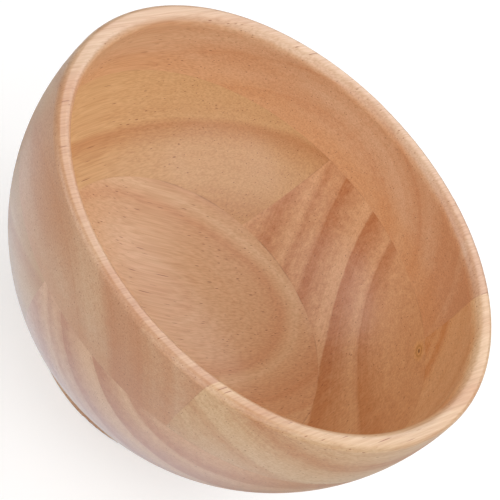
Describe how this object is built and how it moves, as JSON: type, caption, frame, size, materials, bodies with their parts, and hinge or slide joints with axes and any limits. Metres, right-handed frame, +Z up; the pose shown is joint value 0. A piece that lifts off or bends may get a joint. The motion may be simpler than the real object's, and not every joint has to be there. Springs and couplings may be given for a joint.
{
  "type": "wooden bowl",
  "caption": "Deep round serving bowl turned from laminated pale wood, with a rounded rim, an evenly curved hollow and a low foot ring.",
  "frame": {"origin": "centre of the foot's underside, on the turning axis", "axes": "+Z up along the turning axis, from the foot towards the rim; X and Y lie in the plane that the bowl stands on"},
  "size_m": [0.201, 0.201, 0.103],
  "materials": {
    "wood": "satin clear oil over sanded pale wood in three glued layers, with open pores, brown growth bands and a small knot"
  },
  "bodies": {
    "root": {"bowl": "wood"}
  },
  "joints": []
}
